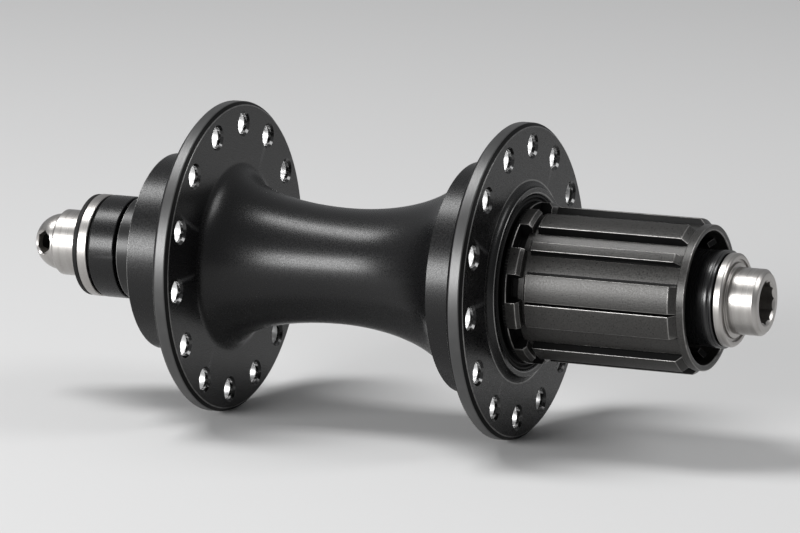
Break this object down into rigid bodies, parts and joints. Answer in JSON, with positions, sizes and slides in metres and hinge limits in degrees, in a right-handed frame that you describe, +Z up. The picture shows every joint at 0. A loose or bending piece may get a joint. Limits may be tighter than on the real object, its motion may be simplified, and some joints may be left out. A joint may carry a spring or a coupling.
{
  "type": "bicycle rear hub",
  "caption": "Quick-release bicycle rear hub with a black trumpet-shaped shell, two spoke flanges, a splined cassette freehub with sprung pawls, and four cartridge bearings.",
  "frame": {"origin": "on the axle's centre line, midway between the two dropout faces", "axes": "+Y along the axle towards the left side, so the drive side faces -Y; +Z up; +X to the bicycle's front"},
  "size_m": [0.0664, 0.1675, 0.0664],
  "materials": {
    "machined_silver": "turned, lightly brushed",
    "black_anodised": "satin black anodised",
    "gloss_black": "polished black anodised",
    "freehub_anodised": "dark grey anodised",
    "rubber": "matt black",
    "spacer_grey": "plain turned",
    "bearing_steel": "ground and polished",
    "shield_steel": "pressed sheet",
    "cage_nylon": "moulded",
    "hard_steel": "hardened, oiled",
    "spring_steel": "bright spring steel"
  },
  "bodies": {
    "axle_group": {"axle": "machined_silver", "left_sleeve": "machined_silver", "left_washer": "rubber", "lock_ring": "machined_silver", "left_o_ring": "rubber", "left_spacer": "black_anodised", "dust_shield": "rubber", "center_spacer": "spacer_grey", "mid_spacer": "spacer_grey", "freehub_spacer": "spacer_grey", "dust_cap": "gloss_black", "cap_o_ring": "rubber", "right_end_cap": "machined_silver", "left_bearing_inner": "bearing_steel", "right_bearing_inner": "bearing_steel", "inboard_bearing_inner": "bearing_steel", "outboard_bearing_inner": "bearing_steel"},
    "shell_group": {"hub_shell": "black_anodised", "ratchet_ring": "hard_steel", "left_seal": "rubber", "right_seal": "rubber", "left_bearing_outer": "bearing_steel", "left_bearing_shields": "shield_steel", "right_bearing_outer": "bearing_steel", "right_bearing_shields": "shield_steel"},
    "freehub_group": {"freehub_body": "freehub_anodised", "inboard_bearing_outer": "bearing_steel", "inboard_bearing_shields": "shield_steel", "outboard_bearing_outer": "bearing_steel", "outboard_bearing_shields": "shield_steel", "retaining_clip": "spring_steel", "pawl_spring_1": "spring_steel", "pawl_spring_2": "spring_steel", "pawl_spring_3": "spring_steel"},
    "pawl_1_body": {"pawl_1": "hard_steel"},
    "pawl_2_body": {"pawl_2": "hard_steel"},
    "pawl_3_body": {"pawl_3": "hard_steel"},
    "left_cage_body": {"left_bearing_cage": "cage_nylon", "left_bearing_balls": "bearing_steel"},
    "right_cage_body": {"right_bearing_cage": "cage_nylon", "right_bearing_balls": "bearing_steel"},
    "inboard_cage_body": {"inboard_bearing_cage": "cage_nylon", "inboard_bearing_balls": "bearing_steel"},
    "outboard_cage_body": {"outboard_bearing_cage": "cage_nylon", "outboard_bearing_balls": "bearing_steel"}
  },
  "joints": [
    {"name": "shell_spin", "type": "hinge", "parent": "axle_group", "child": "shell_group", "pos_m": [0, 0, 0], "axis": [0, 1, 0], "continuous": true},
    {"name": "freehub_spin", "type": "hinge", "parent": "shell_group", "child": "freehub_group", "pos_m": [0, -0.045, 0], "axis": [0, 1, 0], "continuous": true},
    {"name": "pawl_1_hinge", "type": "hinge", "parent": "freehub_group", "child": "pawl_1_body", "pos_m": [0.011, -0.0215, 0.00635], "axis": [0, 1, 0], "range_deg": [0, 12], "stiffness_Nm_per_rad": 0.01, "springref_deg": -14.32},
    {"name": "pawl_2_hinge", "type": "hinge", "parent": "freehub_group", "child": "pawl_2_body", "pos_m": [-0.011, -0.0215, 0.00635], "axis": [0, 1, 0], "range_deg": [0, 12], "stiffness_Nm_per_rad": 0.01, "springref_deg": -14.32},
    {"name": "pawl_3_hinge", "type": "hinge", "parent": "freehub_group", "child": "pawl_3_body", "pos_m": [0, -0.0215, -0.0127], "axis": [0, 1, 0], "range_deg": [0, 12], "stiffness_Nm_per_rad": 0.01, "springref_deg": -14.32},
    {"name": "left_cage_spin", "type": "hinge", "parent": "axle_group", "child": "left_cage_body", "pos_m": [0, 0.0495, 0], "axis": [0, 1, 0], "continuous": true},
    {"name": "right_cage_spin", "type": "hinge", "parent": "axle_group", "child": "right_cage_body", "pos_m": [0, -0.0105, 0], "axis": [0, 1, 0], "continuous": true},
    {"name": "inboard_cage_spin", "type": "hinge", "parent": "axle_group", "child": "inboard_cage_body", "pos_m": [0, -0.0297, 0], "axis": [0, 1, 0], "continuous": true},
    {"name": "outboard_cage_spin", "type": "hinge", "parent": "axle_group", "child": "outboard_cage_body", "pos_m": [0, -0.0565, 0], "axis": [0, 1, 0], "continuous": true}
  ],
  "couplings": [
    {"joint": "left_cage_spin", "follows": "shell_spin", "ratio": 0.60233},
    {"joint": "right_cage_spin", "follows": "shell_spin", "ratio": 0.60233},
    {"joint": "inboard_cage_spin", "follows": "shell_spin", "ratio": 0.56923},
    {"joint": "outboard_cage_spin", "follows": "shell_spin", "ratio": 0.56923}
  ]
}
